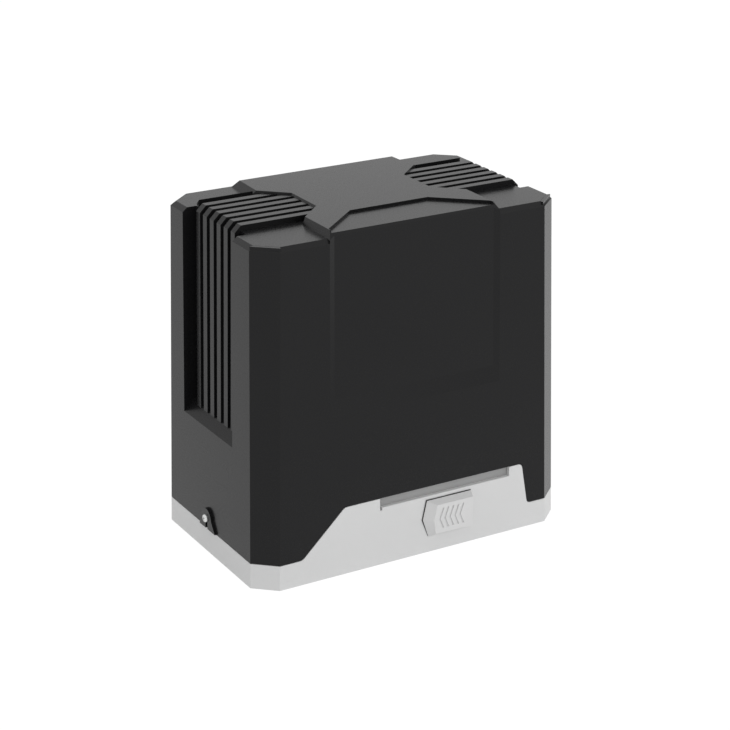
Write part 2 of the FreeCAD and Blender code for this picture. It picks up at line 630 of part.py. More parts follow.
bearing("front_bearing", "XZ", *HUB, "journal_radius", "21", "27", "12")
bearing("rear_bearing", "XZ", *HUB, "shaft_radius", "26", "-57", "15")
piece("shaft_seal", along_y((*HUB, "20"), "85", "92"), along_y((*HUB, "16.5"), "88", "95", True),
      along_y((*HUB, "shaft_radius"), "80", "95", True))

# ---------------------------------------------------------------- worm and motor


def make_worm():
    body = new_body("worm_form")
    disc(body, "XY", "0", "0", "worm_pitch_radius - wheel_module * 1.25", "56", "64")
    lead = "(pi * wheel_module)"
    sketch = new_sketch(body, "XZ")
    middle = f"axis_height - 3 * {lead}"
    root, tip = "worm_pitch_radius - wheel_module * 1.3", "worm_pitch_radius + wheel_module"
    half = f"({lead} / 4 - running_gap * 2)"
    add_outline(sketch, [(root, f"{middle} - {half} - wheel_module * 0.47"),
                         (tip, f"{middle} - {half} + wheel_module * 0.37"),
                         (tip, f"{middle} + {half} - wheel_module * 0.37"),
                         (root, f"{middle} + {half} + wheel_module * 0.47")])
    thread = body.newObject("PartDesign::AdditiveHelix", "worm_thread")
    thread.Profile = sketch
    thread.ReferenceAxis = (sketch, ["V_Axis"])
    thread.Mode = 0
    bind(thread, Pitch=lead, Height=f"{lead} * 6")
    disc(body, "XY", "0", "0", "7.5", "50", "80", remove=True)
    bind(body, Placement__Base__x="-58", Placement__Base__y="wheel_middle")
    keep(body, "worm")


make_worm()
piece("rotor_shaft", along_z((*WORM, "7.5"), "36.5", "244"))
piece("rotor_core", along_z((*WORM, "27.4"), "stack_low", "stack_high"),
      along_z((*WORM, "22"), "stack_low - 5", "stack_high + 5"),
      along_z((*WORM, "7.5"), "100", "300", True))
bearing("worm_bearing_low", "XY", *WORM, "7.5", "17.5", "36", "11")
bearing("worm_bearing_high", "XY", *WORM, "7.5", "17.5", "138", "11")
bearing("rotor_bearing", "XY", *WORM, "7.5", "17.5", "232", "11")
piece("stator_core", along_z((*WORM, "50"), "stack_low", "stack_high"),
      along_z((*WORM, "28"), "100", "300", True))
group("stator_windings", [solid("winding", along_z((*WORM, "47"), low, high),
                                along_z((*WORM, "30"), "100", "300", True))
                          for low, high in (("150.5", "stack_low"), ("stack_high", "229"))])
piece("motor_can", along_z((*WORM, "motor_radius"), "deck_height", "226"),
      along_z((*WORM, "50"), "100", "300", True))
BOLTS = [(f"-58 + 48.5 * cos({a})", f"wheel_middle + 48.5 * sin({a})") for a in (30, 120, 210, 300)]
piece("end_bell", along_z((*WORM, "motor_radius"), "226", "motor_top - 4"),
      along_z((*WORM, "44"), "motor_top - 5", "motor_top"),
      along_z((*WORM, "49"), "225", "motor_top - 8", True),
      along_z((*WORM, "21"), "232", "motor_top - 6"), along_z((*WORM, "17.5"), "225", "243", True),
      along_z((*WORM, "8"), "225", "246", True),
      *[along_z((x, y, "2"), "240", "260", True) for x, y in BOLTS])
group("motor_screws", [screw("XY", x, y, "motor_top - 4", "2", "4", "3", -1) for x, y in BOLTS])

# ---------------------------------------------------------------- electrical parts
piece("run_capacitor", along_z(("-110", "2", "18"), "floor_height + 4", "92"),
      along_z(("-110", "2", "6"), "92", "95"))
piece("capacitor_clip", along_z(("-110", "2", "20"), "floor_height", "30"),
      along_z(("-110", "2", "18"), "floor_height + 4", "40", True))
piece("transformer_core", along_z(rect("72", "-46", "114", "4"), "floor_height", "62"),
      along_y(rect("81", "18", "89.5", "50"), "-60", "20", True),
      along_y(rect("96.5", "18", "105", "50"), "-60", "20", True))
piece("transformer_winding", along_z(rect("81.3", "-56", "104.7", "14"), "18.3", "49.7"),
      along_z(rect("89.5", "-60", "96.5", "20"), "10", "60", True))
piece("electronics_bracket", along_z(rect("4", "-20", "119", "58"), "deck_height", "deck_height + 2"),
      along_z(rect("117", "6", "119", "22"), "floor_height", "deck_height + 1"),
      along_z(rect("117", "6", "128", "22"), "floor_height", "floor_height + 2"))
piece("board_carrier", along_y(rect("8", "deck_height + 2", "114", "258"), "24", "27"),
      along_y(rect("8", "deck_height + 2", "114", "deck_height + 5"), "14", "40"),
      *[along_y((x, z, "3"), "22", "24.5") for x in ("14", "108") for z in ("162", "250")])
piece("control_board", along_y(rect("10", "158", "112", "254"), "20.4", "22"))
group("terminal_blocks", [solid("terminal", along_y(rect(x, "158.5", f"{x} + 26", "170"), "8", "20.4"),
                                *[along_y((f"{x} + {p}", "164", "1.7"), "5", "11", True)
                                  for p in (4, 10, 16, 22)]) for x in ("12", "42", "72")])
group("relays", [solid("relay", along_y(rect(x, "222", f"{x} + 18", "248"), "4", "20.4"))
                 for x in ("14", "36", "58")])
piece("board_fuse", along_y(rect("84", "186", "106", "192"), "12", "20.4"))
group("board_capacitors", [solid("can", along_y((x, z, "6.5"), "0", "20.4"))
                           for x, z in (("90", "232"), ("90", "212"))])
piece("radio_module", along_y(rect("98", "200", "109", "240"), "14", "20.4"))
piece("board_display", along_y(rect("18", "190", "44", "204"), "13", "20.4"))
group("board_buttons", [solid("button", along_y((x, "182", "2.5"), "14", "20.4"))
                        for x in ("20", "29", "38")])
piece("limit_sensor", along_z(rect("-16", "44", "0", "58"), "146", "176"),
      along_y(rect("-14", "150", "-2", "168"), "58", "66"))
piece("cable_grommet", along_z(("cable_across", "cable_deep", "cable_radius"), "0.2", "floor_height"),
      along_z(("cable_across", "cable_deep", "cable_radius + 3"), "floor_height", "9"),
      along_z(("cable_across", "cable_deep", "cable_radius - 3"), "9", "14.2"),
      along_z(("cable_across", "cable_deep", "grommet_radius"), "-1", "20", True))

# ---------------------------------------------------------------- checks and export
doc.recompute()
for thing in doc.Objects:
    if {"Invalid", "Error"} & set(thing.State):
        raise SystemExit(f"{thing.Label} failed to build: {thing.State}")
os.makedirs("parts", exist_ok=True)
for thing in NODES:
    if thing.Shape.isNull() or not thing.Shape.isValid():
        raise SystemExit(f"{thing.Label} has no valid shape")
    thing.Shape.exportStep(f"parts/{thing.Label}.step")
    box = thing.Shape.optimalBoundingBox()
    print(thing.Label, round(thing.Shape.Volume), len(thing.Shape.Solids), box)
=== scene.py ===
"""Sliding gate motor: the finishes, fastenings, wiring and studio of its solids."""
import bpy
import bmesh
import math
from mathutils import Matrix, Vector


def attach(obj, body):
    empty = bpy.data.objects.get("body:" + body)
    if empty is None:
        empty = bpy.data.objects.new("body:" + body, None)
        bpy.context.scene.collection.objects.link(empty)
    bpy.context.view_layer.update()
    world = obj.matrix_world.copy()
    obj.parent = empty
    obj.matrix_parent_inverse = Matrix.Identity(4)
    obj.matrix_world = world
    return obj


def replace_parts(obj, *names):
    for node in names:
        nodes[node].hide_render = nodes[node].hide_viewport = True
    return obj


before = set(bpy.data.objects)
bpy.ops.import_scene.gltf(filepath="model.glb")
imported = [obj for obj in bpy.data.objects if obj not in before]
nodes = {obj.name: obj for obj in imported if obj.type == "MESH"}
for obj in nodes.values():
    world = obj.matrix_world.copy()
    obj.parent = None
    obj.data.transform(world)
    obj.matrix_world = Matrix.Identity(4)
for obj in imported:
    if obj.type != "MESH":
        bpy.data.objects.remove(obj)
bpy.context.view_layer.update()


# The cover is one moulding in charcoal ABS with a fine spark-eroded grain. It drops over the base's
# lip, and two screws low on its ends hold it. The finish class below serves every later piece too.
class Term:
    """A value inside a finish; Python's operators on it add Math nodes."""

    def __init__(self, tree, socket):
        self.tree = tree
        self.socket = socket

    def math(self, operation, other, swapped=False):
        node = self.tree.nodes.new("ShaderNodeMath")
        node.operation = operation
        for slot, value in zip(node.inputs, (other, self) if swapped else (self, other)):
            if isinstance(value, Term):
                self.tree.links.new(value.socket, slot)
            else:
                slot.default_value = value
        return Term(self.tree, node.outputs[0])

    def __add__(self, other):
        return self.math("ADD", other)

    def __sub__(self, other):
        return self.math("SUBTRACT", other)

    def __rsub__(self, other):
        return self.math("SUBTRACT", other, swapped=True)

    def __mul__(self, other):
        return self.math("MULTIPLY", other)

    def __gt__(self, other):
        return self.math("GREATER_THAN", other)

    __radd__ = __add__
    __rmul__ = __mul__


class Finish:
    """A procedural material for one of the drive's surfaces."""

    def __init__(self, name, color, roughness, metallic=0.0, **plain):
        self.material = bpy.data.materials.new(name)
        self.material.use_nodes = True
        self.tree = self.material.node_tree
        self.shader = self.tree.nodes["Principled BSDF"]
        self.put(self.shader, {"Base Color": (*color, 1), "Roughness": roughness,
                               "Metallic": metallic,
                               **{key.replace("_", " "): value for key, value in plain.items()}})
        self.place = self.node("ShaderNodeTexCoord", out="Object")

    def put(self, node, values):
        for key, value in values.items():
            slot = node.inputs[key]
            if isinstance(value, Term):
                self.tree.links.new(value.socket, slot)
            else:
                slot.default_value = value

    def node(self, kind, settings=None, out=0, **values):
        """Any node: its settings first, then the values or links of its sockets by name."""
        node = self.tree.nodes.new(kind)
        for key, value in (settings or {}).items():
            setattr(node, key, value)
        self.put(node, {key.replace("_", " "): value for key, value in values.items()})
        return Term(self.tree, node.outputs[out])

    def noise(self, scale, detail=3.0, stretch=None):
        """A fractal noise over the piece, stretched along an axis if asked."""
        place = self.place
        if stretch:
            place = self.node("ShaderNodeMapping", Vector=place, Scale=stretch)
        return self.node("ShaderNodeTexNoise", Vector=place, Scale=scale, Detail=detail,
                         Roughness=0.55, out="Fac")

    def ramp(self, value, low, high, start=0.0, stop=1.0):
        """A number that runs from start to stop while the value runs from low to high."""
        return self.node("ShaderNodeMapRange", Value=value, From_Min=low, From_Max=high,
                         To_Min=start, To_Max=stop)

    def blend(self, mask, first, second):
        """A colour that goes from the first to the second with the mask."""
        node = self.tree.nodes.new("ShaderNodeMix")
        node.data_type = "RGBA"
        for slot, value in ((node.inputs["Factor"], mask), (node.inputs[6], first),
                            (node.inputs[7], second)):
            if isinstance(value, Term):
                self.tree.links.new(value.socket, slot)
            else:
                slot.default_value = (*value, 1)
        return Term(self.tree, node.outputs[2])

    def bump(self, height, depth, strength=1.0):
        """Relief of a depth in metres."""
        return self.node("ShaderNodeBump", Height=height, Distance=depth, Strength=strength)

    def color(self, value):
        self.put(self.shader, {"Base Color": value})

    def rough(self, value):
        self.put(self.shader, {"Roughness": value})

    def normal(self, value):
        self.put(self.shader, {"Normal": value})


def rounding(width, corner):
    """A geometry group that welds a solid and weights its edges for rounding: the long upright
    corners get the corner radius, other edges and the panel's shallow bevels get the width."""
    tree = bpy.data.node_groups.new("rounding", "GeometryNodeTree")
    for way in ("INPUT", "OUTPUT"):
        tree.interface.new_socket("Geometry", in_out=way, socket_type="NodeSocketGeometry")
    start, end = tree.nodes.new("NodeGroupInput"), tree.nodes.new("NodeGroupOutput")
    weld = tree.nodes.new("GeometryNodeMergeByDistance")
    weld.inputs["Distance"].default_value = 1e-5
    ends = tree.nodes.new("GeometryNodeInputMeshEdgeVertices")
    span = tree.nodes.new("ShaderNodeVectorMath")
    span.operation = "SUBTRACT"
    tree.links.new(ends.outputs["Position 1"], span.inputs[0])
    tree.links.new(ends.outputs["Position 2"], span.inputs[1])
    length = tree.nodes.new("ShaderNodeVectorMath")
    length.operation = "LENGTH"
    tree.links.new(span.outputs[0], length.inputs[0])
    split = tree.nodes.new("ShaderNodeSeparateXYZ")
    tree.links.new(span.outputs[0], split.inputs[0])
    bend = tree.nodes.new("GeometryNodeInputMeshEdgeAngle")
    long = Term(tree, length.outputs["Value"])
    rise = Term(tree, split.outputs["Z"]).math("ABSOLUTE", 0)
    angle = Term(tree, bend.outputs["Unsigned Angle"])
    long_edge, tall_edge = 0.05, 0.15
    clear = angle > math.radians(27)
    shallow = (angle > math.radians(4)) * (long > long_edge)
    upright = clear * (rise > tall_edge)
    weight = (clear.math("MAXIMUM", shallow) * (width / corner)).math("MAXIMUM", upright)
    store = tree.nodes.new("GeometryNodeStoreNamedAttribute")
    store.data_type = "FLOAT"
    store.domain = "EDGE"
    store.inputs["Name"].default_value = "bevel_weight_edge"
    tree.links.new(start.outputs[0], weld.inputs["Geometry"])
    tree.links.new(weld.outputs[0], store.inputs["Geometry"])
    tree.links.new(weight.socket, store.inputs["Value"])
    smooth = tree.nodes.new("GeometryNodeSetShadeSmooth")
    tree.links.new(store.outputs[0], smooth.inputs["Geometry"])
    tree.links.new(smooth.outputs[0], end.inputs[0])
    return tree


def dress(node, finish, width=0.0, corner=None):
    """Give a solid its finish, and round its edges as its tool or mould does."""
    solid = nodes[node]
    solid.data.materials.clear()
    solid.data.materials.append(finish.material)
    if width:
        corner = corner or width
        weld = solid.modifiers.new("weld", "WELD")
        weld.merge_threshold = 1e-5
        flat = solid.modifiers.new("flat", "DECIMATE")
        flat.decimate_type = "DISSOLVE"
        flat.angle_limit = math.radians(1)
        marks = solid.modifiers.new("marks", "NODES")
        marks.node_group = rounding(width, corner)
        edge = solid.modifiers.new("edge", "BEVEL")
        edge.width = corner
        edge.segments = 3
        edge.limit_method = "WEIGHT"
        edge.harden_normals = False
        edge.use_clamp_overlap = True
        even = solid.modifiers.new("even", "WEIGHTED_NORMAL")
        even.weight = 100
        even.keep_sharp = False


cover_finish = Finish("cover_plastic", (0.0095, 0.0095, 0.010), 0.24, Specular_IOR_Level=0.18)
grain = cover_finish.noise(1700, 2.0)
flow = cover_finish.noise(7, 3.0)
cover_finish.color(cover_finish.blend(flow, (0.0085, 0.0085, 0.0090), (0.0112, 0.0112, 0.0117)))
cover_finish.rough(cover_finish.ramp(grain, 0.3, 0.7, 0.20, 0.30))
cover_finish.normal(cover_finish.bump(grain, 0.00002, 0.35))
dress("top_cover", cover_finish, 0.0005, 0.0022)


# The base is an aluminium die casting with a pale grey powder coat, slightly orange-peeled.
# The cover's lip, the anchor pads and the finger recess under the cover are part of the casting.
base_finish = Finish("base_paint", (0.60, 0.60, 0.60), 0.45, Specular_IOR_Level=0.3)
peel = base_finish.noise(420, 2.0)
cloud = base_finish.noise(12, 2.0)
base_finish.color(base_finish.blend(cloud, (0.690, 0.692, 0.692), (0.720, 0.722, 0.722)))
base_finish.rough(base_finish.ramp(peel, 0.3, 0.7, 0.40, 0.52))
base_finish.normal(base_finish.bump(peel, 0.00005, 0.4))
dress("base_casting", base_finish, 0.0004)


# The lock cover is a pale grey moulding that slides on two tongues, with chevrons for the thumb.
slider_finish = Finish("slider_plastic", (0.72, 0.72, 0.72), 0.38, Specular_IOR_Level=0.3)
fine = slider_finish.noise(1500, 2.0)
slider_finish.rough(slider_finish.ramp(fine, 0.3, 0.7, 0.34, 0.44))
slider_finish.normal(slider_finish.bump(fine, 0.00002, 0.4))
dress("key_slider", slider_finish, 0.0005)


# Zinc-plated parts: the lock, its cam, every screw, the pinion's washer and nut, and the pressed
# bracket. The plating is bright with a faint mottle.
zinc_finish = Finish("zinc", (0.66, 0.67, 0.67), 0.28, 1.0)
mottle = zinc_finish.noise(160, 4.0)
zinc_finish.color(zinc_finish.blend(mottle, (0.58, 0.59, 0.60), (0.74, 0.74, 0.72)))
zinc_finish.rough(zinc_finish.ramp(mottle, 0.3, 0.7, 0.22, 0.38))
for node in ("lock_housing", "lock_plug", "lock_cam", "pinion_washer", "pinion_nut"):
    dress(node, zinc_finish, 0.0003)
dress("electronics_bracket", zinc_finish, 0.0002)


# The screws: pan heads with a cross recess. One mesh is turned, its recess is cut by two blades,
# and it is set on every screw of the cover, the gearbox, the motor and the board.
def mm(*values):
    """Millimetres as metres."""
    return tuple(value / 1000 for value in values)


def turned(name, outline, turns=28):
    """A mesh turned about Z from (radius, height) pairs in millimetres, closed at the axis."""
    form = bmesh.new()
    line = [form.verts.new(mm(radius, 0, height)) for radius, height in outline]
    edges = [form.edges.new(pair) for pair in zip(line, line[1:])]
    bmesh.ops.spin(form, geom=line + edges, cent=(0, 0, 0), axis=(0, 0, 1), steps=turns,
                   angle=math.tau, use_duplicate=False)
    bmesh.ops.remove_doubles(form, verts=form.verts, dist=1e-6)
    bmesh.ops.recalc_face_normals(form, faces=form.faces)
    return settle(name, form)


def settle(name, form, smooth=35):
    """Turn a worked form into a piece whose faces run smooth where they bend less than an angle."""
    mesh = bpy.data.meshes.new(name)
    for face in form.faces:
        face.smooth = True
    for edge in form.edges:
        edge.smooth = len(edge.link_faces) != 2 or edge.calc_face_angle(0) < math.radians(smooth)
    form.to_mesh(mesh)
    form.free()
    piece = bpy.data.objects.new(name, mesh)
    bpy.context.scene.collection.objects.link(piece)
    return piece


def bricks(name, boxes, soft=0.15):
    """One piece made of rounded blocks, each from its low to its high corner in millimetres."""
    form = bmesh.new()
    for low, high in boxes:
        sides = [top - foot for foot, top in zip(low, high)]
        middle = [(top + foot) / 2 for foot, top in zip(low, high)]
        place = Matrix.Translation(mm(*middle)) @ Matrix.Diagonal((*mm(*sides), 1))
        made = bmesh.ops.create_cube(form, size=1, matrix=place)
        edges = dict.fromkeys(edge for vert in made["verts"] for edge in vert.link_edges)
        bmesh.ops.bevel(form, geom=list(edges), offset=mm(min(soft, min(sides) * 0.3))[0],
                        segments=2, affect="EDGES", profile=0.5)
    return settle(name, form)


def clad(piece, finish, body):
    """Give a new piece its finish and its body."""
    piece.data.materials.append(finish.material)
    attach(piece, body)
    return piece


def baked(thing):
    """The mesh of an object or curve with its modifiers applied."""
    bpy.context.view_layer.update()
    result = thing.evaluated_get(bpy.context.evaluated_depsgraph_get())
    return bpy.data.meshes.new_from_object(result)


def cross_head(radius, height):
    """A pan head about Z, its seat at zero, with the cross recess cut by two tapered blades."""
    dome = [(0, 0), (radius, 0), (radius, height * 0.35), (radius * 0.93, height * 0.68),
            (radius * 0.74, height * 0.9), (radius * 0.45, height * 0.98), (0, height)]
    head = turned("head", dome)
    arm, wide = radius * 0.56, radius * 0.11
    blades = bricks("blades", [((-arm, -wide, height * 0.35), (arm, wide, height * 1.2)),
                               ((-wide, -arm, height * 0.36), (wide, arm, height * 1.21))], 0.02)
    cut = head.modifiers.new("cut", "BOOLEAN")
    cut.operation = "DIFFERENCE"
    cut.object = blades
    cut.use_self = True
    mesh = baked(head)
    for thing in (head, blades):
        bpy.data.objects.remove(thing)
    return mesh


def heads(name, radius, height, spots, aim):
    """Copies of one cross head at spots in millimetres, turned from Z to an aim, as one piece."""
    shape = cross_head(radius, height)
    form = bmesh.new()
    for count, (spot, way) in enumerate(zip(spots, aim)):
        turn = Vector(way).to_track_quat("Z", "Y").to_matrix().to_4x4()
        spin = Matrix.Rotation(0.6 + count * 1.1, 4, "Z")
        extra = shape.copy()
        extra.transform(Matrix.Translation(mm(*spot)) @ turn @ spin)
        form.from_mesh(extra)
    return clad(settle(name, form, 40), zinc_finish, "base")


def pegs(name, radius, length, spots, aim):
    """The plain shanks under the heads."""
    form = bmesh.new()
    for spot, way in zip(spots, aim):
        turn = Vector(way).to_track_quat("Z", "Y").to_matrix().to_4x4()
        place = Matrix.Translation(mm(*spot)) @ turn @ Matrix.Translation(mm(0, 0, -length / 2))
        bmesh.ops.create_cone(form, cap_ends=True, segments=20, radius1=radius / 1000,
                              radius2=radius / 1000, depth=length / 1000, matrix=place)
    return clad(settle(name, form), zinc_finish, "base")


def islands(node):
    """The low and high corners of each separate solid of a node, in millimetres."""
    form = bmesh.new()
    form.from_mesh(nodes[node].data)
    bmesh.ops.remove_doubles(form, verts=form.verts, dist=1e-6)
    left, found = set(form.verts), []
    while left:
        queue, seen = [left.pop()], []
        while queue:
            vert = queue.pop()
            seen.append(vert.co * 1000)
            for edge in vert.link_edges:
                other = edge.other_vert(vert)
                if other in left:
                    left.remove(other)
                    queue.append(other)
        low = Vector([min(co[i] for co in seen) for i in range(3)])
        high = Vector([max(co[i] for co in seen) for i in range(3)])
        found.append((low, high))
    form.free()
    return found


def screws(node, axis, radius, height, shank):
    """Replace a node's plain screws by ones with a recess, in the places the solids give."""
    spots, ways = [], []
    for low, high in islands(node):
        middle = (low + high) / 2
        out = 1 if axis == 2 or middle[axis] > 0 and axis == 0 else -1
        seat = high[axis] - height if out > 0 else low[axis] + height
        middle[axis] = seat
        spots.append(tuple(middle))
        ways.append([out if way == axis else 0 for way in range(3)])
    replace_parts(heads(node + "_heads", radius, height, spots, ways), node)
    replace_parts(pegs(node + "_shanks", *shank, spots, ways), node)


screws("cover_screws", 0, 3.36, 2.4, (1.6, 12))
screws("gearbox_screws", 1, 4.2, 3.0, (2.0, 10))
screws("motor_screws", 2, 4.2, 3.0, (2.0, 4))


# Machined steel: shafts, the worm, the pinion, the clutch sleeve, the release rod and the bearings.
# The turning marks are fine streaks, and handling leaves faint stains.
steel_finish = Finish("steel", (0.56, 0.57, 0.58), 0.26, 1.0)
turning = steel_finish.noise(40, 3.0, stretch=(1, 60, 1))
stain = steel_finish.noise(35, 3.0)
steel_finish.color(steel_finish.blend(stain, (0.46, 0.46, 0.47), (0.64, 0.65, 0.66)))
steel_finish.rough(steel_finish.ramp(turning, 0.3, 0.7, 0.20, 0.38))
steel_finish.normal(steel_finish.bump(turning, 0.00002, 0.4))
for node in ("output_shaft", "pinion", "clutch_sleeve", "release_rod", "worm", "rotor_shaft",
             "front_bearing", "rear_bearing", "worm_bearing_low", "worm_bearing_high",
             "rotor_bearing"):
    dress(node, steel_finish)


# The gearbox housing, its cover and the motor's end bell are bare aluminium castings, grainy where
# they are as cast.
casting_finish = Finish("casting", (0.55, 0.56, 0.57), 0.5, 1.0)
sand = casting_finish.noise(900, 3.0)
patch = casting_finish.noise(22, 3.0)
casting_finish.color(casting_finish.blend(patch, (0.44, 0.45, 0.46), (0.60, 0.61, 0.62)))
casting_finish.rough(casting_finish.ramp(sand, 0.3, 0.7, 0.42, 0.62))
casting_finish.normal(casting_finish.bump(sand, 0.00010, 0.5))
for node in ("gearbox_housing", "gearbox_cover", "end_bell"):
    dress(node, casting_finish)


# The worm wheel is cast bronze; its teeth are cut and polished by the worm.
bronze_finish = Finish("bronze", (0.60, 0.37, 0.13), 0.28, 1.0)
tarnish = bronze_finish.noise(60, 3.0)
bronze_finish.color(bronze_finish.blend(tarnish, (0.46, 0.27, 0.09), (0.68, 0.43, 0.17)))
bronze_finish.rough(bronze_finish.ramp(tarnish, 0.3, 0.7, 0.24, 0.40))
dress("worm_wheel", bronze_finish)


# Laminated iron: the rotor, the stator and the transformer's core, stacked from half-millimetre
# sheets that show as lines and varnished nearly black.
iron_finish = Finish("lamination", (0.06, 0.06, 0.065), 0.45, 0.5)
stack = iron_finish.node("ShaderNodeTexWave", {"wave_type": "BANDS", "bands_direction": "Z"}, 1,
                         Vector=iron_finish.place, Scale=310.0, Distortion=0.0)
iron_finish.color(iron_finish.blend(stack, (0.035, 0.035, 0.04), (0.10, 0.10, 0.105)))
iron_finish.rough(iron_finish.ramp(iron_finish.noise(200), 0.3, 0.7, 0.38, 0.55))
iron_finish.normal(iron_finish.bump(stack, 0.0001, 0.5))
for node in ("rotor_core", "stator_core", "transformer_core"):
    dress(node, iron_finish)


# Enamelled copper: the stator's coils and the transformer's winding, wound in close turns.
copper_finish = Finish("winding", (0.52, 0.19, 0.06), 0.30, 0.8)
wires = copper_finish.node("ShaderNodeTexWave", {"wave_type": "BANDS", "bands_direction": "Z"}, 1,
                           Vector=copper_finish.place, Scale=420.0, Distortion=0.6)
copper_finish.color(copper_finish.blend(wires, (0.30, 0.09, 0.03), (0.62, 0.25, 0.09)))
copper_finish.rough(copper_finish.ramp(wires, 0.0, 1.0, 0.42, 0.26))
copper_finish.normal(copper_finish.bump(wires, 0.0002, 0.6))
for node in ("stator_windings", "transformer_winding"):
    dress(node, copper_finish)


# Plain mouldings and paints of the inner parts; each has its own grain.
def moulded(name, color, roughness, scale=900, depth=0.00003, spread=0.12):
    """A plain coloured finish with a fine grain and a faint change of tone."""
    finish = Finish(name, color, roughness)
    speck = finish.noise(scale, 2.0)
    wash = finish.noise(25, 2.0)
    darker = tuple(part * (1 - spread) for part in color)
    lighter = tuple(min(1.0, part * (1 + spread)) for part in color)
    finish.color(finish.blend(wash, darker, lighter))
    finish.rough(finish.ramp(speck, 0.3, 0.7, roughness - 0.05, roughness + 0.07))
    finish.normal(finish.bump(speck, depth, 0.4))
    return finish


can_finish = moulded("can", (0.028, 0.028, 0.031), 0.38, 500, 0.00005)
white_finish = moulded("white_plastic", (0.74, 0.74, 0.71), 0.32, spread=0.03)
carrier_finish = moulded("carrier_plastic", (0.030, 0.030, 0.032), 0.46)
terminal_finish = moulded("terminal", (0.035, 0.24, 0.09), 0.40)
black_finish = moulded("black_plastic", (0.018, 0.018, 0.019), 0.36)
rubber_finish = moulded("rubber", (0.022, 0.022, 0.022), 0.66, 300, 0.00008)
dress("board_carrier", carrier_finish, 0.0003)
for node, finish in (("motor_can", can_finish), ("run_capacitor", white_finish),
                     ("terminal_blocks", terminal_finish), ("shaft_seal", rubber_finish),
                     ("cable_grommet", rubber_finish)):
    dress(node, finish)
for node in ("capacitor_clip", "relays", "board_capacitors", "board_display", "board_buttons",
             "limit_sensor"):
    dress(node, black_finish)

glass_finish = Finish("glass", (0.80, 0.82, 0.82), 0.06, 0.0)
bead = glass_finish.noise(300)
glass_finish.rough(glass_finish.ramp(bead, 0.3, 0.7, 0.04, 0.10))
dress("board_fuse", glass_finish)


# The control board: green solder mask over copper tracks, which show as a paler green net.
board_finish = Finish("board", (0.012, 0.13, 0.05), 0.30)
area = board_finish.node("ShaderNodeTexVoronoi", {"distance": "CHEBYCHEV"}, "Color",
                         Vector=board_finish.place, Scale=52.0)
across = board_finish.node("ShaderNodeSeparateColor", out="Red", Color=area) > 0.5
lines = [board_finish.node("ShaderNodeTexWave", {"bands_direction": way}, "Fac",
                           Vector=board_finish.place, Scale=scale)
         for way, scale in (("X", 150.0), ("Z", 165.0))]
track = (lines[0] * across + lines[1] * (1 - across)) > 0.72
ground = board_finish.noise(55, 1.0) > 0.56
track = track * (1 - ground) + ground
board_finish.color(board_finish.blend(track, (0.010, 0.100, 0.038), (0.020, 0.160, 0.062)))
board_finish.rough(board_finish.ramp(track, 0.0, 1.0, 0.34, 0.24))
board_finish.normal(board_finish.bump(track, 0.00004, 0.4))
dress("control_board", board_finish)
dress("radio_module", board_finish)


# The board's parts, all on its front face: a controller chip and a driver chip on their legs, rows
# of chip resistors, the jumper pins beside the buttons and the screws in the board's corners.
BOARD = 20.4
chips = bricks("board_chips", [((52, BOARD - 3, 188), (78, BOARD - 0.6, 198)),
                               ((52, BOARD - 3, 206), (70, BOARD - 0.6, 213))], 0.3)
clad(chips, black_finish, "base")
leg_boxes = [((x, BOARD - 1.4, z), (x + 0.7, BOARD - 0.02, z + 1.3))
             for left, low, high, count in ((53, 186.8, 197.9, 10), (53, 204.8, 212.9, 7))
             for x in [left + step * 2.5 for step in range(count)] for z in (low, high)]
clad(bricks("board_legs", leg_boxes, 0.08), zinc_finish, "base")
chip_boxes = [((x, BOARD - 0.7, z), (x + 2.0, BOARD - 0.02, z + 1.2))
              for z, start, count in ((174.5, 16, 16), (218.0, 16, 12), (200.5, 84, 3))
              for x in [start + step * 4.6 for step in range(count)]]
clad(bricks("board_resistors", chip_boxes, 0.1), white_finish, "base")
pins = [((x, BOARD - 7, z), (x + 0.7, BOARD - 0.02, z + 0.7))
        for x in (50, 52.5, 55, 57.5) for z in (178.5, 181.0)]
clad(bricks("board_pins", pins, 0.1), zinc_finish, "base")
heads("board_screws", 2.4, 1.6, [(14, BOARD, 251), (108, BOARD, 250), (108, BOARD, 162)],
      [(0, -1, 0)] * 3)


# The terminal blocks: green housings with a slotted clamp screw and a wire mouth for each pole.
clamps = bmesh.new()
# Each screw's slot is a thin black bar laid on its head: painted shade where a real slot is dark.
slot_shades = []
for x in (16, 22, 28, 34, 46, 52, 58, 64, 76, 82, 88, 94):
    place = Matrix.Translation(mm(x, 12.6, 169.9))
    bmesh.ops.create_cone(clamps, cap_ends=True, segments=20, radius1=0.0017, radius2=0.0017,
                          depth=0.0008, matrix=place)
    slot_shades.append(((x - 1.4, 12.3, 170.2), (x + 1.4, 12.9, 170.34)))
clad(settle("terminal_screws", clamps), zinc_finish, "base")
clad(bricks("terminal_slot_shades", slot_shades, 0.02), black_finish, "base")


# The relays and the display: each relay's case has a raised lid, and the display shows two unlit
# digits of seven grey bars on its black face.
lids = [((x + 1.2, 3.4, 223.4), (x + 16.8, 4.2, 246.6)) for x in (14, 36, 58)]
clad(bricks("relay_lids", lids, 0.3), black_finish, "base")
bars = []
for left in (21.0, 33.0):
    for z in (192.4, 196.6, 200.8):
        bars.append(((left + 0.9, 12.86, z), (left + 5.1, 13.02, z + 0.8)))
    for x in (left, left + 5.2):
        for z in (193.3, 197.5):
            bars.append(((x, 12.86, z), (x + 0.8, 13.02, z + 3.2)))
digit_finish = moulded("digit", (0.30, 0.30, 0.29), 0.30)
clad(bricks("display_bars", bars, 0.04), digit_finish, "base")


# The fuse: a glass tube between two nickel caps in their clips.
caps = [((83.8, 11.8, 185.8), (88.6, 17.6, 192.2)), ((101.4, 11.8, 185.8), (106.2, 17.6, 192.2))]
clad(bricks("fuse_clips", caps, 0.9), zinc_finish, "base")


